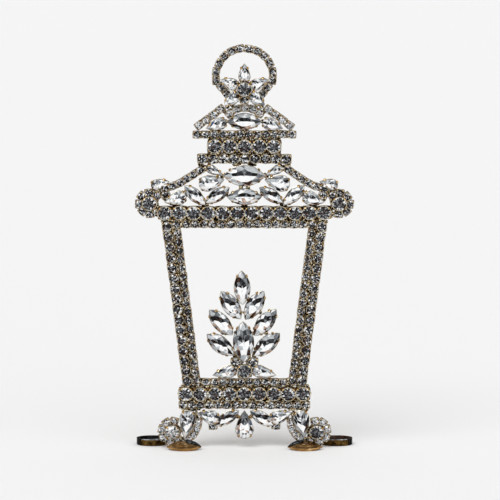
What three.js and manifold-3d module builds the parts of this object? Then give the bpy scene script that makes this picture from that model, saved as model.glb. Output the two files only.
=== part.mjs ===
// A free-standing lantern ornament: crystal stones in brass claw cups, soldered side by side into a flat
// lantern with a hanger ring, and carried by four stone-cup feet. Millimetres, +Z up, the face looks along
// -Y. The origin is on the floor, under the middle of the object.
import * as THREE from "three";
import { ConvexGeometry } from "three/addons/geometries/ConvexGeometry.js";
import { mergeVertices } from "three/addons/utils/BufferGeometryUtils.js";
import Module from "manifold-3d";

const wasm = await Module();
wasm.setup();

// Driving dimensions: round stones in cups. Pitch is along a soldered length, and across is square to it.
const SMALL = { pitch: 3.85, across: 3.5, depth: 2.6, crown: 0.7, sides: 6 };
const MIDDLE = { pitch: 4.6, across: 4.4, depth: 3.0, crown: 0.8, sides: 6 };
const LARGE = { pitch: 6.5, across: 6.2, depth: 3.6, crown: 1.1, sides: 8 };

// Driving dimensions: boat-shaped (navette) and pear stones
const NAVETTE_L = { kind: "navette", length: 18, width: 9, depth: 3.8, crown: 1.9 };
const NAVETTE_M = { kind: "navette", length: 15, width: 7, depth: 3.4, crown: 1.6 };
const NAVETTE_S = { kind: "navette", length: 12.2, width: 5.2, depth: 3.0, crown: 1.3 };
const PEAR_L = { kind: "pear", length: 12.4, width: 7.8, depth: 3.6, crown: 1.8 };
const PEAR_M = { kind: "pear", length: 9.6, width: 6, depth: 3.2, crown: 1.5 };
const PEAR_S = { kind: "pear", length: 8, width: 5, depth: 2.8, crown: 1.2 };
const ROOF_PEAR = { kind: "pear", length: 11, width: 7, depth: 3.4, crown: 1.6 };
const SHOULDER = { kind: "pear", length: 7.6, width: 3.6, depth: 2.6, crown: 0.9 };
const CAP_PEAR = { kind: "pear", length: 9.2, width: 5.2, depth: 2.9, crown: 1.3 };
const LEAF = { kind: "pear", length: 10.4, width: 5.4, depth: 3.0, crown: 1.4 };
const LEG_PEAR = { kind: "pear", length: 12.4, width: 6.9, depth: 3.4, crown: 1.6 };
const FOOT_BOAT = { kind: "navette", length: 15, width: 7, depth: 1.5, crown: 0.5 };
const FOOT_OVAL = { kind: "oval", length: 13.4, width: 9.4, depth: 3.1, crown: 0 };

// Driving dimensions: metal of the cups
const RIM = 0.3; // brass round each fancy stone
const FLOOR = 0.8; // brass under the point of each fancy stone
const CLAW_WIDTH = 0.9;
const CLAW_THICK = 0.5;
const CLAW_REACH = 0.35; // how far a claw lies over the stone

// Driving dimensions: fits
const SEAM = 0.3; // left between two soldered lengths, and between a stone and its cup
const SOLDER = 0.14; // how far neighbours in one soldered length run into each other
const BEAD = 1.9; // a spot of solder at the back of two cups

// Driving dimensions: the lantern
const LEG_HEIGHT = 17.4; // floor to the underside of the base
const BASE_LARGE = 9; // large stones in the base bar
const BASE_SMALL = 15; // small stones in the row below them
const POST_HEIGHT = 74.2; // base bar to eave row
const POST_FOOT = 23.3; // centre of a post from the middle of the lantern, at its foot
const POST_INSET = 5.7; // centre of a post from the end of the eave row, at its top
const EAVE_LARGE = 12; // large stones in the eave row
const EAVE_SPAN = 76.5;
const SCROLL_GAP = 0.4; // end of the eave row to the large cup of a corner scroll
const ROOF_HEIGHT = 18.6; // eave row to collar
const COLLAR_MIDDLE = 9;
const NECK_LARGE = 5;
const CAP_SMALL = 12;
const CAP_SPAN = 45.4;
const HANGER_RADIUS = 12.5; // to the middle of the chain
const HANGER_RISE = 15.4; // middle of the arch's top stone to the middle of the ring
const FINIAL_RISE = 6.85; // top of the cap's arch to the middle of the star
const FLAME_LEAN = 1.4; // degrees by which the flame leans to the left of the viewer
const TABLE = 0.52; // flat top of a stone, as a share of its outline
const POINT = 0.3; // lower end of a stone, as a share of its outline

const brass = new THREE.MeshStandardMaterial({ color: 0xb08d4f, roughness: 0.35, metalness: 1 });
const chainMix = new THREE.MeshStandardMaterial({ color: 0x8f8d88, roughness: 0.25, metalness: 0.6 });
const crystal = new THREE.MeshStandardMaterial({ color: 0xe4e8ec, roughness: 0.05, metalness: 0 });
const bronze = new THREE.MeshStandardMaterial({ color: 0x8a5a2c, roughness: 0.4, metalness: 1 });

const lantern = new THREE.Group();
const rad = THREE.MathUtils.degToRad;

// Outlines, in the plane of the face. Each runs anticlockwise as the viewer sees it.

function roundOutline(width, height, sides) {
  const corner = 1 / Math.cos(Math.PI / sides);
  const tall = sides % 4 ? 1 / corner : 1; // six sides are squeezed to the height of the row
  const angles = Array.from({ length: sides }, (_, i) => ((i + 0.5) * 2 * Math.PI) / sides);
  return angles.map((a) => [
    (width / 2) * corner * Math.cos(a),
    (height / 2) * corner * tall * Math.sin(a),
  ]);
}

// Two arcs that meet in points: corners 0 and 4 are the tips, 2 and 6 the widest places.
function navetteOutline(length, width) {
  const half = length / 2;
  const arcRadius = (half * half + (width * width) / 4) / width;
  const sweep = Math.asin(half / arcRadius);
  const upper = [1, 0.5, 0, -0.5].map((t) => [
    arcRadius * Math.sin(t * sweep),
    arcRadius * Math.cos(t * sweep) - (arcRadius - width / 2),
  ]);
  return [...upper, ...upper.map(([x, z]) => [-x, -z])];
}

// A round end at -X and a tip at +X: corner 0 is the tip, 2 and 6 the widest places, 4 the round end.
function pearOutline(length, width) {
  const r = width / 2;
  const centre = r - length / 2;
  const tip = length / 2;
  const shoulder = [centre + (tip - centre) * 0.5, r * 0.66];
  const end = [90, 135, 180].map((a) => [
    centre + r * Math.cos(rad(a)),
    r * Math.sin(rad(a)),
  ]);
  const below = [shoulder, end[0], end[1]].map(([x, z]) => [x, -z]);
  return [[tip, 0], shoulder, ...end, below[2], below[1], below[0]];
}

function ovalOutline(length, width) {
  const steps = 12;
  const angles = Array.from({ length: steps }, (_, i) => (i * 2 * Math.PI) / steps);
  return angles.map((a) => [(length / 2) * Math.cos(a), (width / 2) * Math.sin(a)]);
}

const OUTLINES = { navette: navetteOutline, pear: pearOutline, oval: ovalOutline };
const outlineOf = (cut, more = 0) => OUTLINES[cut.kind](cut.length + more, cut.width + more);
const scaled = (outline, share) => outline.map(([x, z]) => [x * share, z * share]);
const everySecond = (outline) => outline.filter((_, i) => i % 2 === 0);

// The convex solid through outlines that lie at given heights above the back of the cups.
function hull(...rings) {
  const points = rings.flatMap(([outline, h]) => outline.map(([x, z]) => new THREE.Vector3(x, -h, z)));
  return new ConvexGeometry(points);
}

// Solids and meshes

function toSolid(geometry) {
  const corners = geometry.index ? geometry.toNonIndexed() : geometry;
  const bare = new THREE.BufferGeometry().setAttribute("position", corners.getAttribute("position"));
  const merged = mergeVertices(bare, 1e-4);
  return new wasm.Manifold(
    new wasm.Mesh({
      numProp: 3,
      vertProperties: merged.attributes.position.array,
      triVerts: new Uint32Array(merged.index.array),
    }),
  );
}

const joined = (geometries) => geometries.map(toSolid).reduce((all, next) => all.add(next));

function addMesh(name, solid, material, parent = lantern) {
  const shape = solid.getMesh();
  const geometry = new THREE.BufferGeometry()
    .setAttribute("position", new THREE.BufferAttribute(shape.vertProperties, 3))
    .setIndex(new THREE.BufferAttribute(shape.triVerts, 1));
  const mesh = new THREE.Mesh(geometry, material);
  mesh.name = name;
  parent.add(mesh);
  return mesh;
}

// A geometry turned in the plane of the face by some degrees, anticlockwise for the viewer, and moved.
function placed(geometry, { x = 0, z = 0, turn = 0, front = 0 }) {
  return geometry
    .clone()
    .rotateY(-rad(turn))
    .translate(x, -front, z);
}

// One claw over the middle of the edge that starts at a corner of the cup's outline. It stands in the brass
// rim, clears the stone's edge and bends over its crown.
function claw(outline, corner, depth) {
  const [ax, az] = outline[corner];
  const [bx, bz] = outline[(corner + 1) % outline.length];
  const long = Math.hypot(bx - ax, bz - az);
  const along = [(bx - ax) / long, (bz - az) / long];
  const tip = [-RIM - CLAW_REACH, depth + 2.7 * SEAM + CLAW_REACH];
  const profile = new THREE.Shape([
    new THREE.Vector2(-RIM / 2, depth - 1.5 * FLOOR),
    new THREE.Vector2(CLAW_THICK, depth + 1.5 * SEAM),
    new THREE.Vector2(tip[0], tip[1] + CLAW_THICK / 2),
    new THREE.Vector2(tip[0], tip[1]),
    new THREE.Vector2(RIM / 2, depth + SEAM),
  ]);
  const geometry = new THREE.ExtrudeGeometry(profile, { depth: CLAW_WIDTH, bevelEnabled: false });
  const out = new THREE.Vector3(along[1], 0, -along[0]);
  const up = new THREE.Vector3(0, -1, 0);
  const frame = new THREE.Matrix4().makeBasis(out, up, out.clone().cross(up));
  return geometry
    .translate(0, 0, -CLAW_WIDTH / 2)
    .applyMatrix4(frame)
    .translate((ax + bx) / 2, 0, (az + bz) / 2);
}

// Stones and cups

// A round stone in its cup, soldered to its neighbours left and right. Its flats face them.
function cupStone(size, pitch = size.pitch) {
  const rim = roundOutline(pitch + SOLDER, size.across, size.sides);
  const table = scaled(everySecond(rim), TABLE);
  return hull([rim, 0], [rim, size.depth], [table, size.depth + size.crown]);
}

// The four claws of a large round stone, at its diagonals.
function roundClaws(size) {
  const reach = size.across / 2;
  const wedge = [
    [reach - RIM, size.depth - FLOOR],
    [reach + CLAW_REACH, size.depth - FLOOR],
    [reach + CLAW_REACH, size.depth + SEAM],
    [reach - CLAW_THICK, size.depth + SEAM + CLAW_REACH],
  ];
  const points = [-CLAW_WIDTH / 2, CLAW_WIDTH / 2].flatMap((z) =>
    wedge.map(([x, h]) => new THREE.Vector3(x, -h, z)),
  );
  const shape = new ConvexGeometry(points);
  return [45, 135, 225, 315].map((a) => shape.clone().rotateY(-rad(a)));
}

const largeCup = [cupStone(LARGE), ...roundClaws(LARGE)];

// A fancy stone that seats in an open cup: crown above the rim, point down in the cup.
function looseStone(cut) {
  const girdle = outlineOf(cut);
  return hull(
    [scaled(girdle, POINT), FLOOR + SEAM],
    [girdle, cut.depth + SEAM],
    [scaled(everySecond(girdle), TABLE), cut.depth + SEAM + cut.crown],
  );
}

// The edges next to a tip or a round end carry the claws: corners 0, 3, 4 and 7.
const besideAnEnd = (_, i) => i % 4 === 0 || i % 4 === 3;

const outerLength = (cut) => cut.length + 2 * RIM;
const outerWidth = (cut) => cut.width + 2 * RIM;
const cupBody = (cut) => hull([outlineOf(cut, 2 * RIM), 0], [outlineOf(cut, 2 * RIM), cut.depth]);
const cupClaws = (cut) => {
  const rim = outlineOf(cut, 2 * RIM);
  const corners = rim.map((_, i) => i).filter(besideAnEnd);
  return corners.map((corner) => claw(rim, corner, cut.depth));
};

// The hollow of a cup: it follows the stone's underside and opens at the rim.
function cupHollow(cut) {
  const seat = outlineOf(cut);
  return hull([scaled(seat, POINT + 0.2), FLOOR], [seat, cut.depth], [seat, cut.depth + FLOOR]);
}

// A fancy stone that stays in its cup, as one solid with it.
function fixedStone(cut) {
  const rim = outlineOf(cut, 2 * RIM);
  const table = scaled(everySecond(outlineOf(cut)), TABLE);
  return hull([rim, 0], [rim, cut.depth], [table, cut.depth + cut.crown]);
}

// Solder that bridges the backs of two cups: a spot, or a run from one place to another.
function solderRun(from, to = from) {
  const spot = roundOutline(BEAD, BEAD, 4);
  const outline = [from, to].flatMap(([x, z]) => spot.map(([dx, dz]) => [x + dx, z + dz]));
  return hull([outline, 0], [outline, BEAD / 2]);
}

// Soldered lengths

// A straight row of cups that fills a span, its middle at the middle of the span.
function straightRow(size, count, span) {
  const pitch = span / count;
  const unit = cupStone(size, pitch);
  return Array.from({ length: count }, (_, i) => placed(unit, { x: (i - (count - 1) / 2) * pitch }));
}

// Cups along a path in the plane of the face, the first and the last on its ends.
function pathRow(size, path) {
  const length = path.getLength();
  const steps = Math.max(1, Math.round(length / size.pitch));
  const unit = cupStone(size, length / steps);
  return Array.from({ length: steps + 1 }, (_, i) => {
    const at = path.getPoint(i / steps);
    const way = path.getTangent(i / steps);
    const turn = THREE.MathUtils.radToDeg(Math.atan2(way.y, way.x));
    return placed(unit, { x: at.x, z: at.y, turn });
  });
}

// Small cups round a large one, by the angle of the first, the step and the count.
function rosetteCups(first, step, count) {
  const radius = (LARGE.across + SMALL.across) / 2 - SOLDER;
  const unit = cupStone(SMALL, SMALL.pitch - SOLDER);
  return Array.from({ length: count }, (_, i) => {
    const a = first + i * step;
    return placed(unit, { x: radius * Math.cos(rad(a)), z: radius * Math.sin(rad(a)), turn: a + 90 });
  });
}

// A setting: cups joined at their edges and by solder, hollowed where a loose stone seats.
function setting(loose, fixed, extra = []) {
  const bodies = loose.map((s) => placed(cupBody(s.cut), s));
  const claws = loose.flatMap((s) => cupClaws(s.cut).map((c) => placed(c, s)));
  const closed = fixed.map((s) => placed(fixedStone(s.cut), s));
  const hollows = loose.map((s) => placed(cupHollow(s.cut), s));
  return hollows
    .map(toSolid)
    .reduce((solid, hollow) => solid.subtract(hollow), joined([...bodies, ...closed, ...extra]))
    .add(joined(claws));
}

const mirrored = (s) => ({ ...s, x: -s.x, turn: 180 - (s.turn ?? 0) });

// Heights, stacked upward from the floor
const baseBottomZ = LEG_HEIGHT + SMALL.across / 2;
const baseZ = baseBottomZ + (SMALL.across + LARGE.across) / 2 + SEAM;
const postFootZ = baseZ + LARGE.across / 2 + SEAM;
const baseTopZ = postFootZ + SMALL.across / 2;
const postTopZ = postFootZ + POST_HEIGHT;
const eaveZ = postTopZ + SEAM + LARGE.across / 2;
const fasciaZ = postTopZ - SMALL.across / 2;
const roofZ = eaveZ + LARGE.across / 2;
const collarZ = roofZ + ROOF_HEIGHT + MIDDLE.across / 2;
const neckZ = collarZ + (MIDDLE.across + LARGE.across) / 2 + SEAM;
const capEaveZ = neckZ + (LARGE.across + SMALL.across) / 2 + SEAM;
const capZ = capEaveZ + SMALL.across / 2;

function addRow(name, size, count, span, z) {
  const mesh = addMesh(name, joined(straightRow(size, count, span)), chainMix);
  mesh.position.z = z;
  return mesh;
}

// Base bar, eave, neck and cap eave
addRow("base_bottom_row", SMALL, BASE_SMALL, BASE_LARGE * LARGE.pitch - SEAM, baseBottomZ);
addRow("base_row", LARGE, BASE_LARGE, BASE_LARGE * LARGE.pitch, baseZ);
addRow("eave_row", LARGE, EAVE_LARGE, EAVE_SPAN, eaveZ);
addRow("collar_row", MIDDLE, COLLAR_MIDDLE, COLLAR_MIDDLE * MIDDLE.pitch, collarZ);
addRow("neck_row", LARGE, NECK_LARGE, NECK_LARGE * LARGE.pitch, neckZ);
addRow("cap_eave_row", SMALL, CAP_SMALL, CAP_SPAN, capEaveZ);

// Posts: two soldered columns each, leaning inward to the base
const eaveEnd = EAVE_SPAN / 2;
const postTop = eaveEnd - POST_INSET;
const lean = Math.atan2(postTop - POST_FOOT, POST_HEIGHT);
const postWidth = MIDDLE.across + SMALL.across + SEAM;
const postEdge = (z) => POST_FOOT + (z - postFootZ) * Math.tan(lean) - postWidth / 2 / Math.cos(lean);

function postColumn(name, size, offset, side) {
  const drop = size.across * Math.sin(lean); // a leaning end reaches this much further down and up
  const span = (POST_HEIGHT - drop) / Math.cos(lean) - SOLDER;
  const count = Math.round(span / size.pitch);
  const column = addMesh(name, joined(straightRow(size, count, span)), chainMix);
  column.rotation.y = -Math.PI / 2;
  column.position.x = offset;
  const post = new THREE.Group();
  post.add(column);
  post.rotation.y = lean;
  post.position.set((postTop + POST_FOOT) / 2, 0, (postFootZ + postTopZ) / 2);
  const half = new THREE.Group();
  half.scale.x = side;
  half.add(post);
  lantern.add(half);
}

for (const [word, side] of [["left", -1], ["right", 1]]) {
  postColumn("post_" + word + "_outer", MIDDLE, (postWidth - MIDDLE.across) / 2, side);
  postColumn("post_" + word + "_inner", SMALL, (SMALL.across - postWidth) / 2, side);
}

// The small rows that fit between the posts
function rowBetweenPosts(name, z, low) {
  const span = 2 * (postEdge(low) - SEAM);
  addRow(name, SMALL, Math.round(span / SMALL.pitch), span - SOLDER, z);
}
rowBetweenPosts("base_top_row", baseTopZ, postFootZ);
rowBetweenPosts("fascia_row", fasciaZ, fasciaZ - SMALL.across / 2);

// Hanger ring, with two legs that lean in to the cap and stand on its arch, a seam above its falling sides
const archTop = SEAM + outerWidth(NAVETTE_M) + SEAM + SMALL.across;
const HANGER_SPLAY = rad(10); // how far below its middle the ring turns into the legs
const HANGER_WAIST = 5.2;
const hangerMiddle = archTop + HANGER_RISE - SMALL.across;
const hangerFoot = archTop + SMALL.across / 2 - SEAM;
const hangerPath = new THREE.Path()
  .moveTo(HANGER_WAIST, hangerFoot)
  .lineTo(HANGER_RADIUS * Math.cos(HANGER_SPLAY), hangerMiddle - HANGER_RADIUS * Math.sin(HANGER_SPLAY))
  .absarc(0, hangerMiddle, HANGER_RADIUS, -HANGER_SPLAY, Math.PI + HANGER_SPLAY)
  .lineTo(-HANGER_WAIST, hangerFoot);
addMesh("hanger_ring", joined(pathRow(SMALL, hangerPath)), chainMix).position.z = capZ;

// Finial: a star of pears round a large stone, in front of the hanger's legs
const petalRadius = LARGE.across / 2 + outerLength(PEAR_S) / 2 - SOLDER;
const petals = [90, 23, 157, 218, 322].map((turn) =>
  placed(fixedStone(PEAR_S), {
    x: petalRadius * Math.cos(rad(turn)),
    z: petalRadius * Math.sin(rad(turn)),
    turn,
  }),
);
const finial = addMesh("finial_star", joined([...largeCup, ...petals, ...rosetteCups(270, 0, 1)]), chainMix);
finial.position.set(0, -(SMALL.depth + SMALL.crown + SEAM), capZ + archTop + FINIAL_RISE);

// A part on both sides of the middle: made once and mirrored.
const SIDES = [["left", -1], ["right", 1]];

function addPair(name, solid, material, at = {}) {
  return SIDES.map(([word, side]) => {
    const mesh = addMesh(name.replace("SIDE", word), solid, material);
    mesh.scale.x = side;
    mesh.position.set(side * (at.x ?? 0), -(at.front ?? 0), at.z ?? 0);
    return mesh;
  });
}

// A loose stone in its place in a setting, with the seam under it.
function addStone(name, seat, z) {
  const mesh = addMesh(name, toSolid(looseStone(seat.cut)), crystal);
  mesh.rotation.y = -rad(seat.turn ?? 0);
  mesh.position.set(seat.x ?? 0, 0, z + seat.z);
}

function addStonePair(name, seat, z, moved = (s) => s) {
  addStone(name.replace("SIDE", "right"), moved(seat), z);
  addStone(name.replace("SIDE", "left"), moved(mirrored(seat)), z);
}

const bothSides = (seats) => seats.flatMap((seat) => [seat, mirrored(seat)]);

// Runs of solder on both sides of the middle, which may lean over. Each is a list of one or two places.
function solderOnBothSides(runs, lean = 0) {
  const on = (side) => ([x, z]) => [side * x - z * lean, z];
  return runs.flatMap((run) => [solderRun(...run.map(on(1))), solderRun(...run.map(on(-1)))]);
}

// Cap: measured upward from the top of its eave row
const capSlope = new THREE.Path().moveTo(CAP_SPAN / 2 - 12.2, 9.3).lineTo(CAP_SPAN / 2 - 2.9, 2.3);
addPair("cap_slope_SIDE", joined(pathRow(SMALL, capSlope)), chainMix, { z: capZ });

const archRise = 2.5;
const archSpring = { x: 6.6, z: archTop - SMALL.across / 2 - archRise };
const archPath = new THREE.Path()
  .moveTo(-archSpring.x, archSpring.z)
  .quadraticCurveTo(0, archSpring.z + 2 * archRise, archSpring.x, archSpring.z);
addMesh("cap_arch_row", joined(pathRow(SMALL, archPath)), chainMix).position.z = capZ;

const capCentre = { cut: NAVETTE_M, x: 0, z: SEAM + outerWidth(NAVETTE_M) / 2 };
const capSide = { cut: CAP_PEAR, x: 12.5, z: 2.5, turn: -20 };
const capSetting = setting([capCentre, ...bothSides([capSide])], [], solderOnBothSides([[[8, 3.9]]]));
addMesh("cap_setting", capSetting, brass).position.z = capZ;
addStone("cap_centre_crystal", capCentre, capZ);
addStonePair("cap_SIDE_crystal", capSide, capZ);

// Roof panel: measured upward from the top of the eave row
const roofLower = { cut: NAVETTE_M, x: 0, z: SEAM + outerWidth(NAVETTE_M) / 2 };
const roofCentre = {
  cut: NAVETTE_L,
  x: 0,
  z: ROOF_HEIGHT - SEAM - outerWidth(NAVETTE_L) / 2,
};
const roofShoulder = { cut: SHOULDER, x: 12.9, z: 15.3, turn: 208 };
const roofPear = { cut: ROOF_PEAR, x: 14.4, z: 10.5, turn: 168 };
const roofInner = { cut: NAVETTE_S, x: 11.8, z: 4.8, turn: -33 };
const roofOuter = { cut: NAVETTE_S, x: 21.8, z: 4.8, turn: 43 };
const roofEnd = { cut: PEAR_M, x: 30.4, z: 3.1, turn: -18 };
const roofSolder = solderOnBothSides([
  [[8, 4.9]],
  [[17.2, 1.6]],
  [[25.5, 4.7]],
  [[1.5, roofLower.z + 3.3], [1.5, roofCentre.z - 3.9]],
  [[NAVETTE_L.length / 2, roofCentre.z], [9.8, 12.6]],
]);
const roofSetting = setting(
  [roofLower, roofCentre, ...bothSides([roofPear, roofInner, roofOuter, roofEnd])],
  bothSides([roofShoulder]),
  roofSolder,
);
addMesh("roof_setting", roofSetting, brass).position.z = roofZ;
addStone("roof_lower_crystal", roofLower, roofZ);
addStone("roof_centre_crystal", roofCentre, roofZ);
addStonePair("roof_SIDE_pear_crystal", roofPear, roofZ);
addStonePair("roof_SIDE_inner_crystal", roofInner, roofZ);
addStonePair("roof_SIDE_outer_crystal", roofOuter, roofZ);
addStonePair("roof_SIDE_end_crystal", roofEnd, roofZ);

// Roof slopes: a chain that flares out to the corner, with a pear tucked behind it. The corner lies beyond
// the eave row and beyond the roof's last stone.
const corner = Math.max(eaveEnd, roofEnd.x + 7.85);
const collarEnd = (COLLAR_MIDDLE * MIDDLE.pitch) / 2;
const slopePath = new THREE.Path()
  .moveTo(collarEnd - 1.3, ROOF_HEIGHT - 2.8)
  .lineTo(corner - 11.65, 11)
  .quadraticCurveTo(corner - 8.25, 8.8, corner - 3.45, 7.8);
const slopeSolid = joined([
  ...pathRow(SMALL, slopePath),
  placed(cupStone(SMALL), { x: corner - 3.6, z: 5.2, turn: -20 }),
  placed(fixedStone(PEAR_S), { x: corner - 1.25, z: 9.6, turn: 165, front: -1.2 }),
]);
addPair("roof_slope_SIDE", slopeSolid, chainMix, { z: roofZ });

// Corner scrolls
const scrollSolid = joined([...largeCup, ...rosetteCups(132, -45, 6)]);
addPair("corner_scroll_SIDE", scrollSolid, chainMix, {
  x: corner + SCROLL_GAP + LARGE.across / 2,
  z: roofZ + 1,
});

// Flame: measured upward from the top of the base bar
const flameZ = baseTopZ + SMALL.across / 2;
const heartFoot = SEAM + LARGE.across + 1.1;
const heartTop = heartFoot + NAVETTE_L.length; // the stones of the flame are set out from here
const flameHeart = { cut: NAVETTE_L, x: 0, z: (heartFoot + heartTop) / 2, turn: 90 };
const flameTip = { cut: NAVETTE_M, x: 0, z: heartTop + 15.2, turn: 90 };
const flameLow = { cut: NAVETTE_M, x: 10.3, z: heartTop - 10.2, turn: 40 };
const flameMiddle = { cut: NAVETTE_M, x: 9.8, z: heartTop - 0.3, turn: 49 };
const flameHigh = { cut: NAVETTE_M, x: 5.25, z: heartTop + 7.4, turn: 56 };
const flameLeaf = { cut: LEAF, x: 8.95, z: 2.7, turn: -14 };
const flameRounds = [
  ...largeCup.map((shape) => placed(shape, { z: SEAM + LARGE.across / 2 })),
  placed(cupStone(MIDDLE), { x: 3.75, z: 7.2 }),
  placed(cupStone(MIDDLE), { x: -3.75, z: 7.2 }),
];
const flameLean = Math.tan(rad(FLAME_LEAN));
const leaned = (s) => ({ ...s, x: s.x - s.z * flameLean, turn: s.turn + FLAME_LEAN });
const flameSolder = solderOnBothSides(
  [
    [[2.6, 3.4], [4.8, 3.4]],
    [[1.2, 7.2]],
    [[4.3, 9.3], [4.6, heartTop - 14.5]],
    [[4.2, heartTop - 5.5]],
    [[10, heartTop - 5.3]],
    [[7.4, heartTop + 3.7]],
    [[2.5, heartTop + 9.6]],
  ],
  flameLean,
);
const flameSetting = setting(
  [flameHeart, flameTip, ...bothSides([flameLow, flameMiddle, flameHigh])].map(leaned),
  bothSides([flameLeaf]),
  [...flameRounds, ...flameSolder],
);
addMesh("flame_setting", flameSetting, brass).position.z = flameZ;
addStone("flame_heart_crystal", leaned(flameHeart), flameZ);
addStone("flame_tip_crystal", leaned(flameTip), flameZ);
addStonePair("flame_SIDE_low_crystal", flameLow, flameZ, leaned);
addStonePair("flame_SIDE_middle_crystal", flameMiddle, flameZ, leaned);
addStonePair("flame_SIDE_high_crystal", flameHigh, flameZ, leaned);

// Apron under the base: measured from the floor
const pendant = { cut: PEAR_L, x: 0, z: LEG_HEIGHT - SEAM - outerLength(PEAR_L) / 2, turn: 90 };
const apronNavette = { cut: NAVETTE_S, x: 7.8, z: LEG_HEIGHT - 4, turn: -32 };
const apronPear = { cut: PEAR_M, x: 16.2, z: LEG_HEIGHT - 3.1, turn: 19 };
const apronSetting = setting([pendant], bothSides([apronNavette, apronPear]), [
  placed(cupStone(SMALL), { x: 14, z: LEG_HEIGHT - 7.6 }),
  placed(cupStone(SMALL), { x: -14, z: LEG_HEIGHT - 7.6 }),
  ...solderOnBothSides([[[3, LEG_HEIGHT - 3.7]]]),
]);
addMesh("apron_setting", apronSetting, brass);
addStone("pendant_crystal", pendant, 0);

// Legs: an upright pear and a curl of chain, with a rosette beside it
const legPear = { x: 25.6, z: LEG_HEIGHT - SEAM - outerLength(LEG_PEAR) / 2, turn: -82 };
const legCurl = new THREE.Path().moveTo(20.45, 11.3).quadraticCurveTo(21.1, 6.2, 25.1, 3.9);
const legSolid = joined([placed(fixedStone(LEG_PEAR), legPear), ...pathRow(SMALL, legCurl)]);
addPair("leg_SIDE", legSolid, chainMix);
const rosetteSolid = joined([...largeCup, ...rosetteCups(101, -44.2, 6)]);
addPair("rosette_SIDE", rosetteSolid, chainMix, { x: 32.1, z: 7.1 });

// Feet: shallow stone cups, one tilted forward and one flat behind on each side
const underFloor = new THREE.BoxGeometry(80, 80, 10).translate(0, 0, -5);
const tilt = rad(-71);
const footTurned = fixedStone(FOOT_BOAT)
  .rotateX(tilt)
  .translate(0, 0, (outerWidth(FOOT_BOAT) / 2) * Math.cos(tilt) - 0.35);
const footFront = toSolid(footTurned).subtract(toSolid(underFloor));
addPair("foot_front_SIDE", footFront, bronze, { x: 26.8, front: 7.2 });

const footFlat = toSolid(cupBody(FOOT_OVAL).rotateX(-Math.PI / 2)).subtract(
  toSolid(cupHollow(FOOT_OVAL).rotateX(-Math.PI / 2)),
);
addPair("foot_rear_SIDE", footFlat, bronze, { x: 41.2, front: -5.1 });

// The origin goes under the middle of the object's depth
const depthBox = new THREE.Box3().setFromObject(lantern);
lantern.position.y = -(depthBox.min.y + depthBox.max.y) / 2;

export default lantern;
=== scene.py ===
import math
import random

import bpy
import numpy as np
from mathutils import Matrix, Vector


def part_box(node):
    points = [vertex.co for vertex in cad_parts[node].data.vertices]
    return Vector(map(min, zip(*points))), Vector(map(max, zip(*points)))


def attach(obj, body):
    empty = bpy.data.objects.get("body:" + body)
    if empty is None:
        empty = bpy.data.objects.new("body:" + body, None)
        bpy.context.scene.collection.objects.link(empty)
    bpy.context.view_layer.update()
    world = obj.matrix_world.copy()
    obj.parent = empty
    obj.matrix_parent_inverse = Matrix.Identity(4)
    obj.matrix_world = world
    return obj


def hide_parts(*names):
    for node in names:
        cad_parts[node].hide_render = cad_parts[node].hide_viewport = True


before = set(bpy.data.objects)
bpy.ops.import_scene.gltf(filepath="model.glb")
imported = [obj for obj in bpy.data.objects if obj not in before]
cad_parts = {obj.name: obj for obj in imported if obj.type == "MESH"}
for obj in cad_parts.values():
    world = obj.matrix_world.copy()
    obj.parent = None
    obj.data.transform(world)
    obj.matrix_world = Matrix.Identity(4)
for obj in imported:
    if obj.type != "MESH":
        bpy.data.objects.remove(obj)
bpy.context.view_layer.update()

# Base row: nine large round stones
# Chatons, round cut-glass stones with a foiled back, each in a spun brass cup with four prongs. The cups are
# soldered side by side into one stiff bar, and the small rows are soldered along it.

MM = 0.001
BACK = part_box("base_row")[1].y / MM  # every cup is soldered down on this plane, mm

# A stone in its cup, mm: pitch along the row, across square to it, depth of the cup, crown of the stone over
# it, and widths of the rim and of a claw. Sectors are the cuts round the crown.
LARGE = dict(pitch=6.5, across=6.2, depth=3.6, crown=1.0, rim=0.36, claw=0.9, sectors=16)
SOLDER_FILLET = 0.14  # soldered cups run into each other by this much, mm


def linear(hex_colour):
    """An sRGB hex colour as linear red, green, blue and alpha."""
    channels = [int(hex_colour[i : i + 2], 16) / 255 for i in (1, 3, 5)]
    return [c / 12.92 if c <= 0.04045 else ((c + 0.055) / 1.055) ** 2.4 for c in channels] + [1.0]


def node(material, kind, settings=(), **links):
    """Adds a node, or takes the one that a new material has under that name.

    Settings are attributes, input values, or a ramp's stops as pairs of place and hex colour. Links join inputs
    to an output, or to the first one of a node.
    """
    tree = material.node_tree
    made = tree.nodes.get(kind) or tree.nodes.new(kind)
    for key, value in dict(settings).items():
        if key == "stops":
            band = made.color_ramp.elements
            while len(band) < len(value):
                band.new(0.5)
            for element, (at, colour) in zip(band, value):
                element.position, element.color = at, linear(colour)
        elif key in made.inputs:
            made.inputs[key].default_value = value
        else:
            setattr(made, key, value)
    for key, source in links.items():
        output = source.outputs[0] if hasattr(source, "outputs") else source
        tree.links.new(made.inputs[key.replace("_", " ")], output)
    return made


def clouded(name, width, cloud, stops):
    """A new material whose colour runs through the stops in clouds this many millimetres wide.

    Gives the material, the clouds, the place on the object in metres, and the colour.
    """
    material = bpy.data.materials.new(name)
    material.use_nodes = True
    place = node(material, "ShaderNodeTexCoord").outputs["Object"]
    noise = node(material, "ShaderNodeTexNoise", {"Scale": 1 / width / MM, **cloud}, Vector=place)
    colour = node(material, "ShaderNodeValToRGB", {"stops": stops}, Fac=noise)
    return material, noise, place, colour


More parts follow.
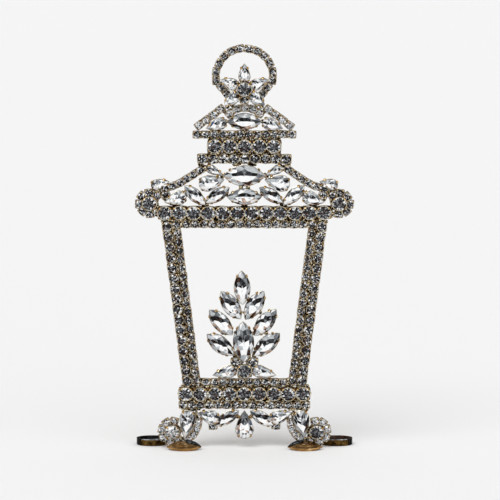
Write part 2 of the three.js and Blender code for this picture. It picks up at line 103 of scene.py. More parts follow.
def spun_brass(name, dark, middle, light, grain, roughness):
    """Thin brass sheet drawn into cups, tarnished where fingers and polish don't reach.

    Clouds of tarnish, as wide as the grain in millimetres, go from brown to warm gold. On the cups, the boats'
    grooves and the ovals' outer ends the dark tones are painted shade, and on the rims and the ovals' lip the
    light tones are a painted highlight. Scuffs break up the shine, drawn 0.3 mm wide, coarser than real ones,
    so that they show.
    """
    tones = [(0.34, dark), (0.5, middle), (0.66, light)]
    material, _, place, colour = clouded(name, grain, {"Detail": 4.0, "Roughness": 0.65}, tones)
    scuffs = node(material, "ShaderNodeTexNoise", {"Scale": 1 / 0.3 / MM, "Detail": 2.0}, Vector=place)
    worn = {"To Min": roughness - 0.1, "To Max": roughness + 0.15}
    rough = node(material, "ShaderNodeMapRange", worn, Value=scuffs)
    skin = node(material, "ShaderNodeBump", {"Strength": 0.25, "Distance": 0.00004}, Height=scuffs)
    node(material, "Principled BSDF", {"Metallic": 1.0}, Base_Color=colour, Roughness=rough, Normal=skin)
    return material


back_brass = spun_brass("brass_cup_back_dull", "#5d4a2a", "#846b41", "#ad9262", 2.6, 0.42)
# The cups show in the gaps between the stones; their dark tone, near black, is painted shade in those gaps,
# over clouds of tarnish.
cup_brass_painted_shade = spun_brass("brass_cup_tarnish_and_painted_shade", "#080604", "#3e301c", "#cdb080", 0.9, 0.34)
# The rolled rims are tinted nearly white: a painted highlight over polished brass.
rim_brass_painted_highlight = spun_brass("brass_rim_polished_painted_highlight", "#a09276", "#e4d9c2", "#faf5e8", 1.6, 0.24)
claw_brass = spun_brass("brass_claw_burnished", "#33200a", "#b78f50", "#f8e9c0", 0.8, 0.22)


def cut_glass(name, shade, streak):
    """Lead glass, cut and polished, over a silvered foil back.

    Each facet's colour is a painted reflection, one flash of the foil as the facet would show it: nearly one
    tone, with soft streaks about a millimetre wide, under a hard gloss. The gloss is weak, because the light
    goes on into the stone.
    """
    tones = [(0.42, shade), (0.62, streak)]
    material, _, _, colour = clouded(name, 1.1, {"Detail": 2.0, "Distortion": 0.6}, tones)
    node(material, "Principled BSDF", {"Roughness": 0.06, "Specular IOR Level": 0.1}, Base_Color=colour)
    return material


# Painted reflections: each facet of a foiled stone is coloured with the tone of what it would mirror, from
# white to black.
PAINTED_FLASHES = [
    cut_glass("cut_glass_painted_flash_white", "#fdfdfd", "#eceeef"),
    cut_glass("cut_glass_painted_flash_silver", "#c6cacd", "#a3a8ac"),
    cut_glass("cut_glass_painted_flash_grey", "#83868a", "#5a5d61"),
    cut_glass("cut_glass_painted_flash_slate", "#3e4044", "#26282b"),
    cut_glass("cut_glass_painted_flash_black", "#0b0909", "#191615"),
    cut_glass("cut_glass_painted_flash_umber", "#2b1c15", "#4a3225"),
    cut_glass("cut_glass_painted_flash_copper", "#a58876", "#cdb8aa"),
    cut_glass("cut_glass_painted_flash_blue", "#48608f", "#26355c"),
]
WHITE, SILVER, GREY, SLATE, BLACK, UMBER, COPPER, BLUE = range(8)


def pick(dice, odds):
    """One of the painted flashes, tones of painted reflection, by odds given as pairs of flash and weight."""
    flashes, weights = zip(*odds)
    return dice.choices(flashes, weights)[0]


# A shape is points in millimetres (across, height above the back plane, up), faces, and a finish for each face.


def placed(shape, x=0.0, z=0.0, turn=0.0, front=0.0, mirror=False):
    """The shape turned anticlockwise as the viewer sees it, moved, and mirrored to the left side if asked."""
    points, faces, finishes = shape
    a = math.radians(turn)
    px = x + points[:, 0] * math.cos(a) - points[:, 2] * math.sin(a)
    pz = z + points[:, 0] * math.sin(a) + points[:, 2] * math.cos(a)
    moved = np.column_stack([-px if mirror else px, points[:, 1] + front, pz])
    return moved, [f[::-1] for f in faces] if mirror else faces, finishes


def together(shapes):
    """Several shapes as one."""
    points, faces, finishes, start = [], [], [], 0
    for p, f, m in shapes:
        points.append(p)
        faces += [tuple(i + start for i in face) for face in f]
        finishes += m
        start += len(p)
    return np.vstack(points), faces, finishes


def add_piece(name, shapes, materials, node_name, sharp_over=None):
    """Makes one mesh of the shapes, standing for a CAD node.

    Its edges over the angle in degrees stay sharp and the rest is smooth. Without an angle every facet is flat.
    """
    points, faces, finishes = together(shapes)
    in_scene = np.column_stack([points[:, 0], BACK - points[:, 1], points[:, 2]]) * MM
    mesh = bpy.data.meshes.new(name)
    mesh.from_pydata(in_scene.tolist(), [], faces)
    for material in materials:
        mesh.materials.append(material)
    mesh.polygons.foreach_set("material_index", finishes)
    if sharp_over:
        mesh.polygons.foreach_set("use_smooth", [True] * len(faces))
        mesh.set_sharp_from_angle(angle=math.radians(sharp_over))
    mesh.validate()
    mesh.update()
    piece = bpy.data.objects.new(name, mesh)
    bpy.context.scene.collection.objects.link(piece)
    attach(piece, "root")
    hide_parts(node_name)


def lofted(rings, finishes, floor):
    """A skin over closed rings of equal count, with a finish for each band and one for the floor."""
    count = len(rings[0])
    points = np.vstack(rings)
    faces, kinds = [], []
    for band in range(len(rings) - 1):
        a, b = band * count, (band + 1) * count
        for i in range(count):
            j = (i + 1) % count
            faces.append((a + i, a + j, b + j, b + i))
            kinds.append(finishes[band])
    last = (len(rings) - 1) * count
    faces += [tuple(reversed(range(count))), tuple(range(last, last + count))]
    kinds += [floor, finishes[-1]]
    return points, faces, kinds


def ring(outline, height):
    """Outline points (x, z) as a ring at a height above the back."""
    return np.array([[x, height, z] for x, z in outline])


def on_circle(radius, a):
    return radius * math.cos(a), radius * math.sin(a)


def circle(radius, count=16):
    return [on_circle(radius, 2 * math.pi * i / count) for i in range(count)]


CUP, RIM, CLAW, BEHIND = 0, 1, 2, 3
METALS = [cup_brass_painted_shade, rim_brass_painted_highlight, claw_brass, back_brass]


def squared(radius, share):
    """A circle pushed out towards the corners of its square, by a share from 0 to 1."""
    points = []
    for x, z in circle(radius):
        out = 1 + (radius / max(abs(x), abs(z)) - 1) * share
        points.append((x * out, z * out))
    return points


def round_cup(size):
    """A cup pressed from square sheet: its skirt is squared, and the rim rolled in over it is round."""
    r, d, rim = size["pitch"] / 2 + SOLDER_FILLET / 2, size["depth"], size["rim"]
    rings = [
        ring(squared(0.66 * r, 0.5), 0.0), ring(squared(0.94 * r, 0.6), 0.2 * d),
        ring(squared(r, 0.68), 0.45 * d), ring(squared(r, 0.6), 0.66 * d),
        ring(circle(r), 0.8 * d), ring(circle(r - 0.02), d - 0.12), ring(circle(r - 0.1), d + 0.02),
        ring(circle(r - rim + 0.06), d + 0.02), ring(circle(r - rim), d - 0.14),
        ring(circle(r - rim - 0.05), d - 0.5),
    ]
    return lofted(rings, [BEHIND, BEHIND, CUP, CUP, CUP, RIM, RIM, RIM, CUP], floor=BEHIND)


def prong(reach, width, foot, shoulder, lift):
    """A claw: a strip of the cup's wall that stands up, narrows, and is pressed over the stone's edge.

    It points outward along +x from the stone's middle. Reach is the cup's radius there, and foot, shoulder and
    lift are where it leaves the wall, where it turns in, and how far it rises from there.
    """
    spine = [  # place along the radius, height, half width, half thickness
        (reach + 0.02, foot, 0.5, 0.13),
        (reach + 0.06, shoulder - 0.25, 0.5, 0.16),
        (reach - 0.05, shoulder + 0.12, 0.48, 0.18),
        (reach - 0.28, shoulder + lift * 0.7, 0.42, 0.15),
        (reach - 0.56, shoulder + lift, 0.26, 0.08),
    ]
    rings = []
    for i, (x, h, half, thick) in enumerate(spine):
        ax, ah = spine[max(i - 1, 0)][:2]
        bx, bh = spine[min(i + 1, len(spine) - 1)][:2]
        along = np.array([bx - ax, bh - ah])
        out = np.array([along[1], -along[0]]) / np.hypot(*along)
        w = half * width
        corners = [(1, -0.55), (1, 0.55), (0.2, 1), (-1, 0.7), (-1, -0.7), (0.2, -1)]  # out, sideways
        rings.append(np.array([[x + out[0] * thick * t, h + out[1] * thick * t, w * s] for t, s in corners]))
    return lofted(rings, [CLAW] * (len(rings) - 1), floor=CLAW)


def round_claws(size):
    """Four prongs, one at each corner of the skirt."""
    reach, foot, lift = size["pitch"] / 2 + 0.1, size["depth"] * 0.6, size["crown"] * 0.6
    claw = prong(reach, size["claw"], foot, size["depth"], lift)
    return [placed(claw, turn=a) for a in (45, 135, 225, 315)]


def brilliant(outline_at, size, table, dice, odds, sectors, culet=(0.5, 0.5)):
    """The crown of a brilliant cut over any outline: table, stars, kites and upper girdle facets.

    The table, a share of the outline, shows the facets of the foiled back through the glass, as sectors in two
    rings. Culet is how long and how wide the inner ring is as a share of the table.
    Odds give the painted reflections of the table's middle, its edge and the spokes in it, the stars, the kites
    and the girdle facets. Without dice the finish of a facet is the name of its kind.
    """
    girdle, crown = size["depth"] - 0.08, size["crown"]
    n = sectors

    def points(share, shift, height):
        return [[x * share, height, z * share] for x, z in (outline_at((i + shift) / n) for i in range(n))]

    heart = [[0, girdle + crown, 0]]
    middle = [[x * culet[0], h, z * culet[1]] for x, h, z in points(table, 0.5, girdle + crown)]
    top = points(table, 0.0, girdle + crown)
    star = points(table + (1 - table) * 0.46, 0.5, girdle + crown * 0.62)
    main = points(1.0, 0.0, girdle)
    between = points(1.0, 0.5, girdle)
    all_points = np.array(heart + middle + top + star + main + between)
    h, m, t, s, g, b = 0, 1, 1 + n, 1 + 2 * n, 1 + 3 * n, 1 + 4 * n  # the first point of each ring
    faces, kinds = [], []

    def facet(part, *corners):
        faces.append(corners)
        kinds.append(pick(dice, odds[part]) if dice else part)

    for i in range(n):
        j, k = (i + 1) % n, (i - 1) % n
        facet("heart", h, m + i, m + j)
        facet("table", m + i, t + i, t + j)
        facet("spoke", m + i, t + j, m + j)
        facet("star", t + i, s + i, t + j)
        facet("kite", t + i, s + k, g + i, s + i)
        facet("girdle", s + i, g + i, b + i)
        facet("girdle", s + i, b + i, g + j)
    return all_points, faces, kinds


# Odds of the painted reflections on the facets of a chaton, by kind of facet.
CHATON_ODDS = dict(
    heart=[(SLATE, 4), (UMBER, 4), (GREY, 2), (BLACK, 3)],
    table=[(SLATE, 4), (BLACK, 6), (UMBER, 3), (GREY, 0.8)],
    spoke=[(GREY, 5), (SLATE, 3), (UMBER, 1.5), (SILVER, 1.2)],
    star=[(BLACK, 5), (SLATE, 3.4), (GREY, 3), (UMBER, 1.4), (SILVER, 1.2), (WHITE, 0.5)],
    kite=[(BLACK, 5), (SLATE, 3), (GREY, 2.6), (SILVER, 1.6), (WHITE, 1.2), (UMBER, 1)],
    girdle=[(BLACK, 6), (SLATE, 2), (GREY, 2), (WHITE, 3.4), (SILVER, 2), (COPPER, 0.6)],
)


def round_stone(size, dice, odds):
    radius = size["pitch"] / 2 - size["rim"] + 0.05
    return brilliant(lambda t: on_circle(radius, 2 * math.pi * t), size, 0.56, dice, odds, size["sectors"])


CUP_OVERLAP = 1.04  # solder draws the cups of a row a little into each other


def squeezed(shape, size, along=1.0):
    """A round shape pressed to the size of the row, square to its length and by a share along it."""
    points, faces, finishes = shape
    return points * [along, 1, size["across"] / size["pitch"]], faces, finishes


def set_stones(places, size, dice, odds):
    """Cups with their claws, and stones, at each place. Soldering by hand leaves each cup a little askew."""
    cup = squeezed(together([round_cup(size), *round_claws(size)]), size, along=CUP_OVERLAP)
    places = [
        {
            **place,
            "x": place.get("x", 0) + dice.uniform(-0.1, 0.1),
            "z": place.get("z", 0) + dice.uniform(-0.12, 0.12),
            "turn": place.get("turn", 0) + dice.uniform(-4, 4),
        }
        for place in places
    ]
    cups = [placed(cup, **place) for place in places]
    stones = [
        placed(squeezed(placed(round_stone(size, dice, odds), turn=dice.uniform(0, 45)), size), **place)
        for place in places
    ]
    return cups, stones


def add_set(node_name, groups, solder=()):
    """The metal and the stones of one soldered length, from pairs of cups and stones, and solder along it."""
    cups = [cup for cups, _ in groups for cup in cups]
    stones = [stone for _, stones in groups for stone in stones]
    add_piece(node_name + "_cups", [*cups, *solder], METALS, node_name, sharp_over=38)
    add_piece(node_name + "_stones", stones, PAINTED_FLASHES, node_name)


def soldered(name, painted_shade, warm, bright):
    """Silver solder run with a torch into the gaps between cups.

    Specks under a millimetre wide go from the darkest tone, painted shade in the gaps, over a warm brown to
    bright metal, on a lumpy skin; on the silver solder the brightest specks are near-white painted glints.
    """
    tones = [(0.47, painted_shade), (0.51, warm), (0.56, bright)]
    material, specks, _, colour = clouded(name, 0.8, {"Detail": 3.0, "Roughness": 0.7}, tones)
    skin = node(material, "ShaderNodeBump", {"Strength": 0.6, "Distance": 0.0001}, Height=specks)
    node(material, "Principled BSDF", {"Metallic": 1.0, "Roughness": 0.4}, Base_Color=colour, Normal=skin)
    return material


# Black specks of painted shade in the gaps between cups, and near-white painted glints, over brass-brown
# solder.
METALS.append(soldered("silver_solder_painted_shade_and_glints", "#070605", "#4a371d", "#fdebc4"))
LUMP = 4


def solder_lump(x, z, ax=None, az=None, *, dice, radius=1.0, height=1.0):
    """A spot of solder, or a run from one place to another, lying on the back plane."""
    ax, az = (x, z) if ax is None else (ax, az)
    run = math.hypot(ax - x, az - z)
    turn = math.degrees(math.atan2(az - z, ax - x)) if run else dice.uniform(0, 90)
    rings = []
    for share, h in ((0.8, 0.0), (1.0, 0.35 * height), (0.85, 0.75 * height), (0.45, height)):
        ring_points = []
        for cx, cz in circle(radius * share, count=10):
            wobble = 1 + dice.uniform(-0.12, 0.12)
            ring_points.append([cx * wobble + math.copysign(run / 2, cx), h, cz * wobble])
        rings.append(np.array(ring_points))
    return placed(lofted(rings, [LUMP] * 3, floor=LUMP), x=(x + ax) / 2, z=(z + az) / 2, turn=turn)


def seam(ax, az, bx, bz, dice, low=1.7, high=2.9):
    """Solder in the gap between two soldered lengths: a string of uneven lumps, one for each millimetre."""
    count = round(math.hypot(bx - ax, bz - az))
    lumps = []
    for i in range(count + 1):
        x = ax + (bx - ax) * i / count + dice.uniform(-0.3, 0.3)
        z = az + (bz - az) * i / count + dice.uniform(-0.2, 0.2)
        radius, height = dice.uniform(0.6, 1.0), dice.uniform(low, high)
        lumps.append(solder_lump(x, z, radius=radius, height=height, dice=dice))
    return lumps


CUP_CORNER = 2.1  # where large round cups part, above and below the middle of their row, mm


def beads_between(places, dice):
    """Beads of solder in the corners that the large round cups of a straight row leave free."""
    beads = []
    for place, following in zip(places, places[1:]):
        x, z = (place["x"] + following["x"]) / 2, place["z"]
        corners = (z - CUP_CORNER, z + CUP_CORNER)
        beads += [solder_lump(x, corner, radius=0.75, height=2.3, dice=dice) for corner in corners]
    return beads


def row(count, span, z):
    """Places in a straight level row, its middle over the middle of the lantern."""
    pitch = span / count
    return [dict(x=(i - (count - 1) / 2) * pitch, z=z) for i in range(count)]


def middle_height(node_name):
    low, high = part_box(node_name)
    return (low.z + high.z) / 2 / MM


def seam_over(lower_node, upper_node, half, dice):
    """Solder along the gap between two level lengths, as far as half to each side of the middle."""
    z = (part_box(lower_node)[1].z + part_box(upper_node)[0].z) / 2 / MM
    return seam(-half, z, half, z, dice)


BASE_SEAM = 28  # half the length of the seams, mm
BASE_END = 29.2  # a bead closes each end of the row here, mm

dice, end_dice = random.Random("base"), random.Random("solder")
base_places = row(9, 9 * LARGE["pitch"], middle_height("base_row"))
base_solder = seam_over("base_bottom_row", "base_row", BASE_SEAM, dice)
base_solder += seam_over("base_row", "base_top_row", BASE_SEAM, dice)
for x in (-BASE_END, BASE_END):
    base_solder.append(solder_lump(x, base_places[0]["z"], radius=0.55, height=3.4, dice=end_dice))
base_solder += beads_between(base_places, dice)
add_set("base_row", [set_stones(base_places, LARGE, dice, CHATON_ODDS)], base_solder)

# Base bar: small rows above and below
# Rhinestone chain, small foiled stones in square brass cups with a claw at each corner. It is cut to length
# and soldered along the large row.

SMALL = dict(pitch=3.85, across=3.5, depth=2.6, crown=0.62, rim=0.24, claw=0.5, sectors=8)

# Odds of the painted reflections on the facets of a small chain stone.
CHAIN_ODDS = dict(
    heart=[(SLATE, 3), (BLACK, 5), (GREY, 2.4), (SILVER, 1), (UMBER, 1.5)],
    table=[(BLACK, 9), (SLATE, 2.4), (GREY, 1.6), (SILVER, 1), (WHITE, 1), (UMBER, 1)],
    spoke=[(GREY, 3), (SILVER, 2.4), (SLATE, 2), (BLACK, 3), (WHITE, 2), (COPPER, 0.5)],
    star=[(BLACK, 7), (SLATE, 2), (GREY, 2), (SILVER, 1.6), (WHITE, 2.6), (COPPER, 0.5)],
    kite=[(BLACK, 7), (SLATE, 2), (GREY, 2), (SILVER, 1.6), (WHITE, 3), (UMBER, 0.8), (BLUE, 0.03)],
    girdle=[(BLACK, 9), (SLATE, 2), (GREY, 1.6), (SILVER, 1.6), (WHITE, 4), (COPPER, 0.8)],
)


def chain_row(node_name, size):
    """A straight length of chain, with as many stones as its place has room for."""
    low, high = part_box(node_name)
    span = (high.x - low.x) / MM - SOLDER_FILLET
    places = row(round(span / size["pitch"]), span, middle_height(node_name))
    add_set(node_name, [set_stones(places, size, random.Random(node_name), CHAIN_ODDS)])


chain_row("base_bottom_row", SMALL)
chain_row("base_top_row", SMALL)

# Posts
# Two lengths of rhinestone chain side by side, middle size outside and small inside, soldered together. They
# stand on the base bar and lean outward.

MIDDLE = dict(pitch=4.6, across=4.4, depth=3.0, crown=0.7, rim=0.27, claw=0.55, sectors=10)

SIDES = (("left", True), ("right", False))  # what is made for the right side is mirrored to the left
POST_FOOT, POST_TOP = 23.3, 32.55  # middle line of a post from the middle of the lantern, mm
POST_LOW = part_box("base_row")[1].z / MM + 0.3
POST_HEIGHT = 74.2
POST_LEAN = math.atan2(POST_TOP - POST_FOOT, POST_HEIGHT)
POST_WIDTH = MIDDLE["across"] + SMALL["across"] + 0.3

# Odds of the painted reflections on the facets of the posts' stones.
POST_ODDS = dict(
    heart=[(BLACK, 5), (SLATE, 3), (UMBER, 3), (GREY, 2)],
    table=[(BLACK, 9), (SLATE, 3), (UMBER, 2.4), (GREY, 1.4), (WHITE, 0.6)],
    spoke=[(BLACK, 4), (SLATE, 3), (GREY, 3), (SILVER, 1.6), (WHITE, 1.4), (COPPER, 0.7)],
    star=[(BLACK, 8), (SLATE, 3), (GREY, 2), (SILVER, 1.4), (WHITE, 1.8), (COPPER, 0.7)],
    kite=[(BLACK, 8), (SLATE, 3), (GREY, 2), (SILVER, 1.4), (WHITE, 2), (UMBER, 1.6), (BLUE, 0.03)],
    girdle=[(BLACK, 10), (SLATE, 2), (GREY, 1.6), (SILVER, 1.4), (WHITE, 3), (COPPER, 1.2)],
)


def on_post(offset, along):
    """A place by its distance from the post's middle line, outward, and by its distance up the line."""
    x, z = (POST_TOP + POST_FOOT) / 2, POST_LOW + POST_HEIGHT / 2
    return (
        x + offset * math.cos(POST_LEAN) + along * math.sin(POST_LEAN),
        z - offset * math.sin(POST_LEAN) + along * math.cos(POST_LEAN),
    )


def post_column(node_name, size, offset, mirror, solder=()):
    span = (POST_HEIGHT - size["across"] * math.sin(POST_LEAN)) / math.cos(POST_LEAN) - SOLDER_FILLET
    count = round(span / size["pitch"])
    places = []
    for i in range(count):
        x, z = on_post(offset, (i - (count - 1) / 2) * span / count)
        places.append(dict(x=x, z=z, turn=90 - math.degrees(POST_LEAN), mirror=mirror))
    add_set(node_name, [set_stones(places, size, random.Random(node_name), POST_ODDS)], solder)


def on_side(shapes, mirror):
    return [placed(shape, mirror=mirror) for shape in shapes]


foot, head = middle_height("base_top_row"), middle_height("fascia_row")
for side, mirror in SIDES:
    dice = random.Random("post solder " + side)
    joint = [
        *seam(*on_post(-0.45, -36), *on_post(-0.45, 36), dice, low=1.3, high=2.3),  # between the two columns
        *seam(*on_post(-3.4, 37.3), *on_post(3.6, 37.3), dice),  # to the eave
        solder_lump(19.2, foot - 1, 19.4, foot + 1, dice=dice, radius=0.95, height=2.4),  # to the base bar
        solder_lump(27.9, head - 1, 27.9, head + 1, dice=dice, radius=0.8, height=2.4),  # to the fascia
    ]
    outer, inner = (POST_WIDTH - MIDDLE["across"]) / 2, (SMALL["across"] - POST_WIDTH) / 2
    post_column(f"post_{side}_outer", MIDDLE, outer, mirror, on_side(joint, mirror))
    post_column(f"post_{side}_inner", SMALL, inner, mirror)

# Eave and fascia
# Twelve chatons in cups along the foot of the roof, with a length of small rhinestone chain soldered under
# them between the posts.

EAVE_SPAN = 76.5
EAVE_SEAM = 34  # half the length of the seam under the eave, mm

dice = random.Random("eave")
eave_places = row(12, EAVE_SPAN, middle_height("eave_row"))
eave_solder = seam_over("fascia_row", "eave_row", EAVE_SEAM, dice) + beads_between(eave_places, dice)
add_set("eave_row", [set_stones(eave_places, LARGE, dice, CHATON_ODDS)], eave_solder)
chain_row("fascia_row", SMALL)

# Roof slopes
# Small rhinestone chain bent by hand along each slope, flaring out over the corner, with one more small stone
# below it and a pear stone tucked behind.

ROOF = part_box("eave_row")[1].z / MM  # foot of the roof, mm


def bend(start, guide, end):
    """A bend from start to end, drawn towards a guide point, as 24 short steps."""
    line = []
    for i in range(25):
        t = i / 24
        line.append([(1 - t) ** 2 * a + 2 * t * (1 - t) * b + t * t * c for a, b, c in zip(start, guide, end)])
    return line


def along_chain(line, size, up, mirror=False, packed=1.0):
    """Places for the stones of a chain laid along a line of points, the first and last on its ends.

    Up lifts the line, and packed is how much closer than its pitch the chain is bent together.
    """
    line = np.array(line)
    lengths = np.hypot(*np.diff(line, axis=0).T)
    reach = np.concatenate([[0], np.cumsum(lengths)])
    steps = round(reach[-1] / size["pitch"] * packed)
    places = []
    for i in range(steps + 1):
        at = reach[-1] * i / steps
        x, z = np.interp(at, reach, line[:, 0]), np.interp(at, reach, line[:, 1])
        k = min(int(np.searchsorted(reach, at, side="right")) - 1, len(lengths) - 1)
        dx, dz = line[k + 1] - line[k]
        places.append(dict(x=x, z=z + up, turn=math.degrees(math.atan2(dz, dx)), mirror=mirror))
    return places


def clear_odds(part, up, along, pear):
    """How a clear stone's painted reflections fall. Up goes from -1, its foot as it lies in the lantern, to 1,
    and along likewise.

    The table is painted with the reflection of the dark room over the viewer in its upper half and of the white
    floor in its lower half. Round it the crown is painted silver at the top, smoky at the flanks, brown below
    them and white at the foot, as painted reflections. The tip of a pear is painted light, and grey where it
    points up.
    """
    if part in ("heart", "table", "spoke"):
        if up < 0.06:
            return [(WHITE, 12), (SILVER, 2), (COPPER, 0.5)]
        if abs(along) > 0.6:
            return [(SILVER, 5), (WHITE, 1.6), (GREY, 3)]
        if pear:
            return [(SILVER, 3), (GREY, 4), (WHITE, 1.4), (BLACK, 1.6), (SLATE, 2)]
        return [(SLATE, 4), (BLACK, 7), (GREY, 2.4), (UMBER, 1)]
    if pear and along > 0.45:
        if up > 0.25:
            return [(GREY, 4), (SILVER, 3), (SLATE, 1.4)]
        return [(WHITE, 4), (SILVER, 4), (GREY, 2), (COPPER, 0.6)]
    if up > 0.5:
        return [(SILVER, 5), (WHITE, 2.6), (GREY, 3)]
    if up > 0:
        return [(GREY, 3), (SLATE, 2.4), (BLACK, 3), (SILVER, 2.4), (UMBER, 0.8), (WHITE, 0.6), (BLUE, 0.12)]
    if up > -0.45:
        return [(COPPER, 1.4), (UMBER, 1.6), (SILVER, 2.6), (WHITE, 2), (GREY, 2)]
    if abs(along) < 0.5 and not pear:
        return [(COPPER, 2.4), (UMBER, 2.6), (WHITE, 2), (SILVER, 1)]
    return [(WHITE, 4.6), (SILVER, 3), (COPPER, 1), (UMBER, 1), (GREY, 1), (BLACK, 0.4)]


def navette_outline(length, width):
    """A boat shape: two arcs that meet in points, a stone outline by share of the way round."""
    half = length / 2
    arc = (half * half + width * width / 4) / width
    sweep = math.asin(half / arc)

    def at(t):
        t = t % 1
        upper = t < 0.5
        s = 1 - 4 * (t if upper else t - 0.5)
        x, z = arc * math.sin(s * sweep), arc * math.cos(s * sweep) - (arc - width / 2)
        return (x, z) if upper else (-x, -z)

    return at


def pear_outline(length, width):
    """A pear shape with its tip at +x: a round end, and flanks that run to the tip, nearly straight."""
    r = width / 2
    centre = r - length / 2
    flank = 0.2  # share of the way round

    def at(t):
        t = t % 1
        s = t if t <= 0.5 else 1 - t
        if s < flank:
            u = s / flank
            x = length / 2 + (centre - length / 2) * u
            z = r * (u * (1.62 - 0.62 * u)) ** 0.92
        else:
            a = math.pi / 2 * (1 + (s - flank) / (0.5 - flank))
            x, z = centre + r * math.cos(a), r * math.sin(a)
        return (x, z if t <= 0.5 else -z)

    return at


def fancy_stone(outline, cut, dice, turn, pear):
    """A boat or pear stone. Its painted reflections follow how its facets lie once it is turned into place.

    What counts as up leans towards the upper long side, so the dark painted reflection runs along a slanting
    stone.
    """
    a = math.radians(turn)
    probe = [outline(i / 32) for i in range(32)]
    reach = max(abs(x * math.sin(a) + z * math.cos(a)) for x, z in probe)
    half, side = max(x for x, _ in probe), max(z for _, z in probe)
    points, faces, parts = brilliant(outline, cut, 0.58, None, None, 10, culet=(0.72, 0.14))
    kinds = []
    for face, part in zip(faces, parts):
        x, _, z = points[list(face)].mean(axis=0)
        up = 0.75 * (x * math.sin(a) + z * math.cos(a)) / reach + 0.35 * z / side * math.cos(a)
        kinds.append(pick(dice, clear_odds(part, up, x / half, pear)))
    return points, faces, kinds


def fancy_cup(outline, cut, claws):
    """An open cup that follows the stone, its rim turned in over the girdle, with four claws near the ends."""
    d = cut["depth"]
    count = 24
    edge = [outline(i / count) for i in range(count)]

    def grown(by, height):
        points = []
        for i in range(count):
            (ax, az), (bx, bz) = edge[i - 1], edge[(i + 1) % count]
            nx, nz = bz - az, ax - bx
            long = math.hypot(nx, nz)
            points.append((edge[i][0] + by * nx / long, edge[i][1] + by * nz / long))
        return ring(points, height)

    def shrunk(share, height):
        return ring([(x * share, z * share) for x, z in edge], height)

    rings = [
        shrunk(0.62, 0.0), shrunk(0.84, 0.18 * d), grown(0.14, 0.62 * d), grown(0.24, 0.8 * d),
        grown(0.24, d - 0.3), grown(0.12, d - 0.2), grown(-0.02, d - 0.3), grown(-0.1, d - 0.7),
    ]
    shapes = [lofted(rings, [BEHIND, BEHIND, CUP, CUP, RIM, RIM, CUP], floor=BEHIND)]
    claw = prong(reach=0.36, width=1.25, foot=d * 0.5, shoulder=d - 0.1, lift=cut["crown"] * 0.6)
    for t in claws:
        (ax, az), (bx, bz) = outline(t - 0.01), outline(t + 0.01)
        x, z = outline(t)
        out = math.degrees(math.atan2(ax - bx, bz - az))
        shapes.append(placed(placed(claw, turn=out), x=x, z=z))
    return together(shapes)


KINDS = dict(  # the outline, and where the claws stand by share of the way round
    navette=(navette_outline, (0.09, 0.41, 0.59, 0.91)),
    pear=(pear_outline, (0.07, 0.36, 0.64, 0.93)),
)


def set_fancy(kind, length, width, depth, crown, dice, x, z, turn=0.0, front=0.0, mirror=False):
    """A boat or pear stone and its cup, in place. Gives the cup and the stone."""
    make, claws = KINDS[kind]
    outline = make(length, width)
    cut = dict(depth=depth, crown=crown)
    place = dict(x=x, z=z, turn=turn, front=front, mirror=mirror)
    stone = fancy_stone(outline, cut, dice, turn, kind == "pear")
    return placed(fancy_cup(outline, cut, claws), **place), placed(stone, **place)


PEAR_S = ("pear", 8, 5, 2.8, 1.2)  # kind, and length, width, depth of the cup and crown in mm

slope_line = [(19.4, 15.8), *bend((26.6, 11), (30, 8.8), (34.8, 7.8))]
for side, mirror in SIDES:
    name = "roof_slope_" + side
    dice = random.Random(name)
    places = along_chain(slope_line, SMALL, ROOF, mirror)
    places.append(dict(x=34.65, z=ROOF + 5.2, turn=-20, mirror=mirror))
    cup, stone = set_fancy(*PEAR_S, dice, x=37, z=ROOF + 9.6, turn=165, front=-1.2, mirror=mirror)
    joint = seam(35.2, ROOF + 2.6, 37.6, ROOF + 6.6, dice)  # to the corner scroll
    joint += seam(19.9, ROOF + 18.2, 17.2, ROOF + 17.2, dice)  # to the collar
    add_set(name, [set_stones(places, SMALL, dice, CHAIN_ODDS), ([cup], [stone])], on_side(joint, mirror))

# Corner scrolls
# A chaton in its brass cup closes each end of the eave, with a curl of six small chain stones soldered round
# its outer side.

CURL_RADIUS = (LARGE["across"] + SMALL["across"]) / 2 - SOLDER_FILLET


def curl(x, z, first, step, mirror):
    """Places of six small stones round a large one, by the angle of the first and the step, in degrees."""
    places = []
    for i in range(6):
        a = math.radians(first + i * step)
        across, up = on_circle(CURL_RADIUS, a)
        places.append(dict(x=x + across, z=z + up, turn=math.degrees(a) + 90, mirror=mirror))
    return places


def add_rosette(node_name, x, z, first, step, mirror, middle_odds=CHATON_ODDS, curl_odds=CHAIN_ODDS):
    """A large stone in a curl of six small ones, soldered on at its inner side."""
    dice = random.Random(node_name)
    stones = set_stones([dict(x=x, z=z, mirror=mirror)], LARGE, dice, middle_odds)
    curled = set_stones(curl(x, z, first, step, mirror), SMALL, dice, curl_odds)
    joint = seam(x - 3.1, z - 5.6, x - 3.4, z + 1.6, dice)
    add_set(node_name, [stones, curled], on_side(joint, mirror))


for side, mirror in SIDES:
    add_rosette("corner_scroll_" + side, 41.75, ROOF + 1, 132, -45, mirror)

# Roof panel
# Boat and pear stones in open brass cups, which touch at their rims and are joined at the back by spots of
# solder. The stones drop in and are clawed.

NAVETTE_L = ("navette", 18, 9, 3.8, 1.9)
NAVETTE_M = ("navette", 15, 7, 3.4, 1.6)
NAVETTE_S = ("navette", 12.2, 5.2, 3.0, 1.3)
PEAR_M = ("pear", 9.6, 6, 3.2, 1.5)
ROOF_PEAR = ("pear", 11, 7, 3.4, 1.6)
SHOULDER = ("pear", 7.6, 3.6, 2.6, 0.9)


